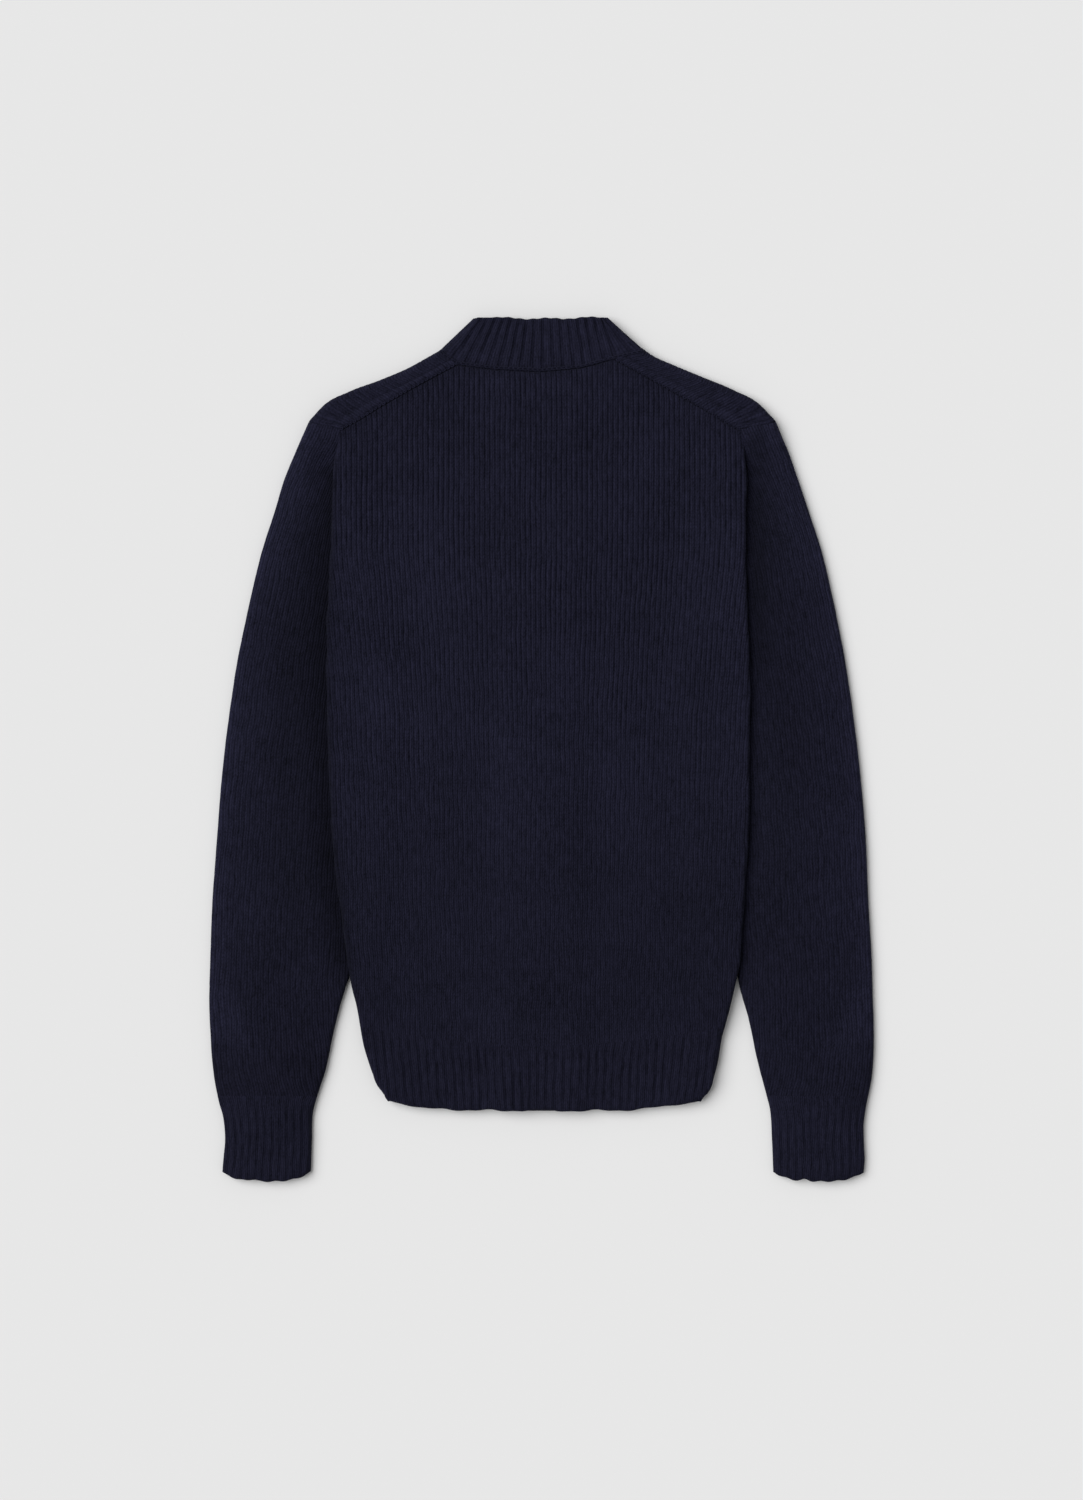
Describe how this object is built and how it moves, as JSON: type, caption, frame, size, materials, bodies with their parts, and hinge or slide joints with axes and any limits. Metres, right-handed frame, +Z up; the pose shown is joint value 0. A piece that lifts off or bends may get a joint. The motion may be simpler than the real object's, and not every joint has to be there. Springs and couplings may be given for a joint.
{
  "type": "button cardigan",
  "caption": "Chunky ribbed-edge knitted button cardigan with a stand neckband, buttoned and laid out flat on its front with the back upwards and the sleeves along its sides.",
  "frame": {"origin": "centre of the garment's outline, on the surface it lies on", "axes": "+Z up out of the back of the garment, +Y towards the neck, +X towards the wearer's right sleeve"},
  "size_m": [0.5852, 0.7604, 0.0141],
  "materials": {
    "navy_knit": "matt chunky wool, plain knit",
    "navy_rib": "matt chunky wool, 1x1 rib",
    "dark_button": "dark horn-like resin, satin"
  },
  "bodies": {
    "root": {"back_panel": "navy_knit", "front_panel_left": "navy_knit", "front_panel_right": "navy_knit", "sleeve_left": "navy_knit", "sleeve_right": "navy_knit", "cuff_rib_left": "navy_rib", "cuff_rib_right": "navy_rib", "hem_rib_back": "navy_rib", "hem_rib_front_left": "navy_rib", "hem_rib_front_right": "navy_rib", "neck_rib": "navy_rib", "buttonhole_band": "navy_rib", "button_band": "navy_rib", "button_1": "dark_button", "button_2": "dark_button", "button_3": "dark_button", "button_4": "dark_button", "button_5": "dark_button", "button_6": "dark_button"}
  },
  "joints": []
}
